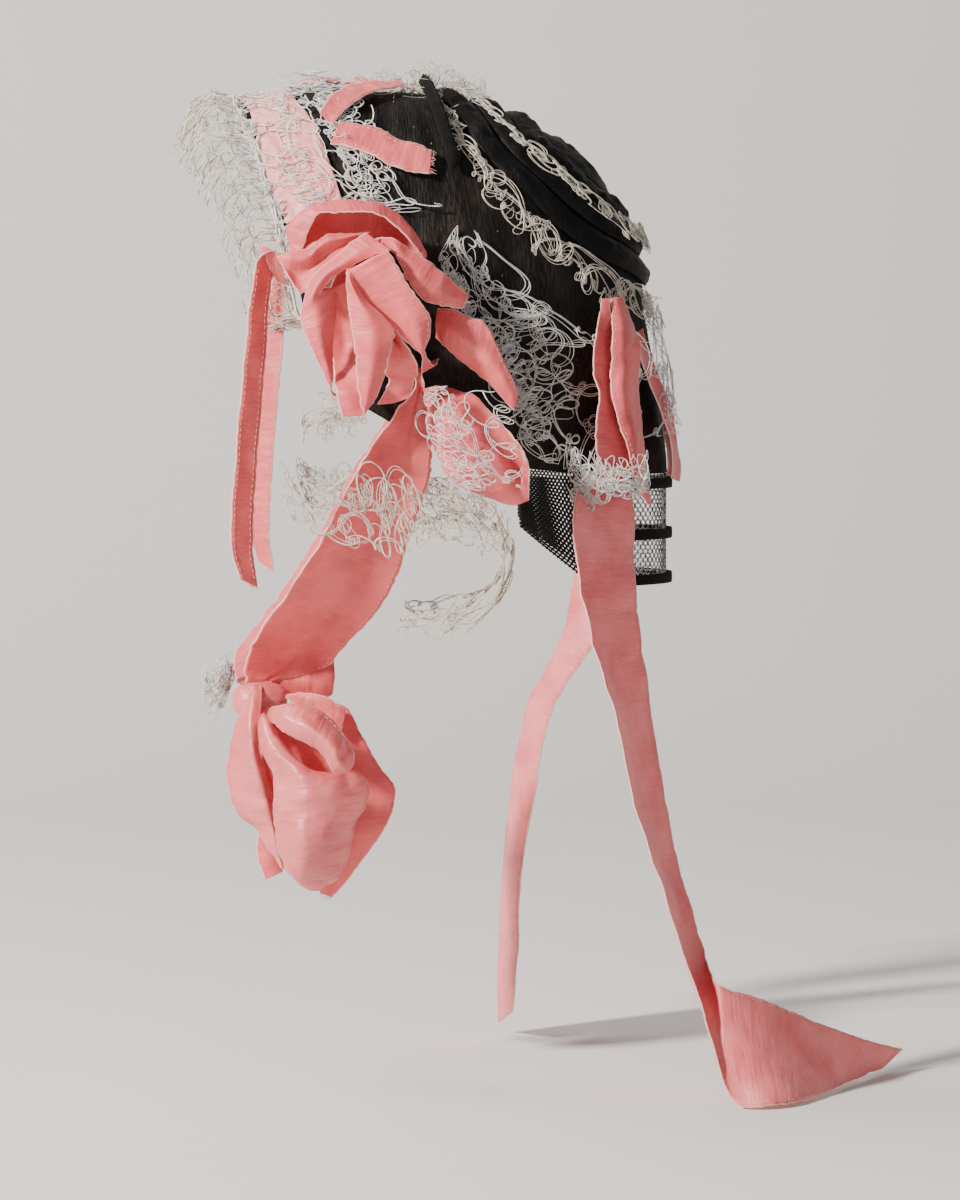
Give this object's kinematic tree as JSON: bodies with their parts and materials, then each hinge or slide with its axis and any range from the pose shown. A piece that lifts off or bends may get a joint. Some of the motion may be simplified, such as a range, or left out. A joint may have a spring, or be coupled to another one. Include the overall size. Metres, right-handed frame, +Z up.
{
  "type": "day cap",
  "caption": "Woman's day cap of black net and folded silk with a lace frill round the face, ribbon rosettes at the temples, chin ties with a bow and long streamers at the nape.",
  "frame": {"origin": "the point on the inside of the crown that rests on the top of the head", "axes": "+Z up, the wearer faces -Y, the wearer's left side is +X"},
  "size_m": [0.2544, 0.3215, 0.4337],
  "materials": {
    "pink_silk": "crisp silk taffeta with a soft sheen",
    "black_net": "fine net and folded silk, dull",
    "black_velvet": "velvet pile",
    "white_lace": "cotton lace, matte"
  },
  "bodies": {
    "root": {"back_bow_far_left": "pink_silk", "back_bow_far_right": "pink_silk", "back_bow_front_left": "pink_silk", "back_bow_front_right": "pink_silk", "back_bow_inner_left": "pink_silk", "back_bow_inner_right": "pink_silk", "band_lace": "white_lace", "cheek_ribbon_left": "pink_silk", "cheek_ribbon_right": "pink_silk", "chin_bow_back_panel": "pink_silk", "chin_bow_left_loop": "pink_silk", "chin_bow_lobe": "pink_silk", "chin_bow_tail": "pink_silk", "chin_bow_top_flap": "pink_silk", "chin_bow_upper_lobe": "pink_silk", "chin_knot": "pink_silk", "chin_lace": "white_lace", "chin_tie_left": "pink_silk", "chin_tie_right": "pink_silk", "crown_fold_centre": "black_net", "crown_fold_inner": "black_net", "crown_fold_middle": "black_net", "crown_fold_outer": "black_net", "crown_lace_lower": "white_lace", "crown_lace_upper": "white_lace", "crown_net": "black_net", "crown_side_lace_left": "white_lace", "crown_side_lace_right": "white_lace", "ear_lace_left": "white_lace", "ear_lace_right": "white_lace", "ear_loop_lower_left": "pink_silk", "ear_loop_lower_right": "pink_silk", "ear_loop_upper_left": "pink_silk", "ear_loop_upper_right": "pink_silk", "face_frill_left": "white_lace", "face_frill_right": "white_lace", "head_band": "pink_silk", "nape_curtain": "black_net", "rosette_left_back_loop": "pink_silk", "rosette_left_centre_loop": "pink_silk", "rosette_left_inner_fold": "pink_silk", "rosette_left_left_loop": "pink_silk", "rosette_left_right_fold": "pink_silk", "rosette_left_right_tail": "pink_silk", "rosette_right_back_loop": "pink_silk", "rosette_right_centre_loop": "pink_silk", "rosette_right_inner_fold": "pink_silk", "rosette_right_left_loop": "pink_silk", "rosette_right_right_fold": "pink_silk", "rosette_right_right_tail": "pink_silk", "streamer_left": "pink_silk", "streamer_right": "pink_silk", "top_bow_lower_arm": "pink_silk", "top_bow_pucker": "pink_silk", "top_bow_upper_arm": "pink_silk", "velvet_band_hem": "black_velvet", "velvet_band_middle": "black_velvet", "velvet_band_top": "black_velvet", "velvet_bar": "black_velvet"}
  },
  "joints": []
}
